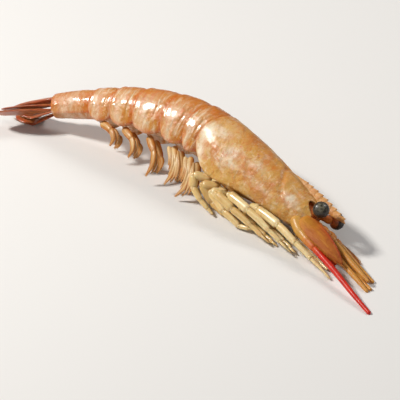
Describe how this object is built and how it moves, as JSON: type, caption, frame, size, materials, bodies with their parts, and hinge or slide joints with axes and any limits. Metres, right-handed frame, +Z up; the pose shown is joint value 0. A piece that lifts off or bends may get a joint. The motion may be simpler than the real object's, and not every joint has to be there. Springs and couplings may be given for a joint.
{
  "type": "prawn",
  "caption": "Whole cooked prawn lying on its side, with its shell, toothed beak, jointed tail, tail fan, feelers, walking legs and swimming legs.",
  "frame": {"origin": "middle of the bounding box's underside, on the board the prawn lies on", "axes": "+X along the body from tail to head, +Y to the prawn's left, +Z up"},
  "size_m": [0.186, 0.0469, 0.0278],
  "materials": {
    "shell": "wet cooked shell, pinkish tan with orange and pale blotches",
    "tail_fan": "glossy orange red shell with ribs",
    "leg": "pale yellow cream, a little wet",
    "swimmeret": "thin orange brown blades",
    "antennal_scale": "thin orange leaf",
    "feeler": "bright red, smooth",
    "eye": "black, wet"
  },
  "bodies": {
    "root": {"carapace": "shell", "tail_segment_1": "shell", "tail_segment_2": "shell", "tail_segment_3": "shell", "tail_segment_4": "shell", "tail_segment_5": "shell", "tail_segment_6": "shell", "telson": "tail_fan", "inner_tail_blade_right": "tail_fan", "inner_tail_blade_left": "tail_fan", "outer_tail_blade_right": "tail_fan", "outer_tail_blade_left": "tail_fan", "eyestalk_right": "leg", "eyestalk_left": "leg", "eye_right": "eye", "eye_left": "eye", "antennal_scale_right": "antennal_scale", "antennal_scale_left": "antennal_scale", "antenna_right": "feeler", "antenna_left": "feeler", "antennule_right": "antennal_scale", "antennule_left": "antennal_scale", "lower_lash_right": "antennal_scale", "lower_lash_left": "antennal_scale", "maxilliped_right": "leg", "maxilliped_left": "leg", "walking_leg_1_right": "leg", "walking_leg_2_right": "leg", "walking_leg_3_right": "leg", "walking_leg_4_right": "leg", "walking_leg_5_right": "leg", "walking_leg_1_left": "leg", "walking_leg_2_left": "leg", "walking_leg_3_left": "leg", "walking_leg_4_left": "leg", "walking_leg_5_left": "leg", "swimming_leg_1_right": "swimmeret", "swimming_leg_2_right": "swimmeret", "swimming_leg_3_right": "swimmeret", "swimming_leg_4_right": "swimmeret", "swimming_leg_5_right": "swimmeret", "swimming_leg_1_left": "swimmeret", "swimming_leg_2_left": "swimmeret", "swimming_leg_3_left": "swimmeret", "swimming_leg_4_left": "swimmeret", "swimming_leg_5_left": "swimmeret"}
  },
  "joints": []
}
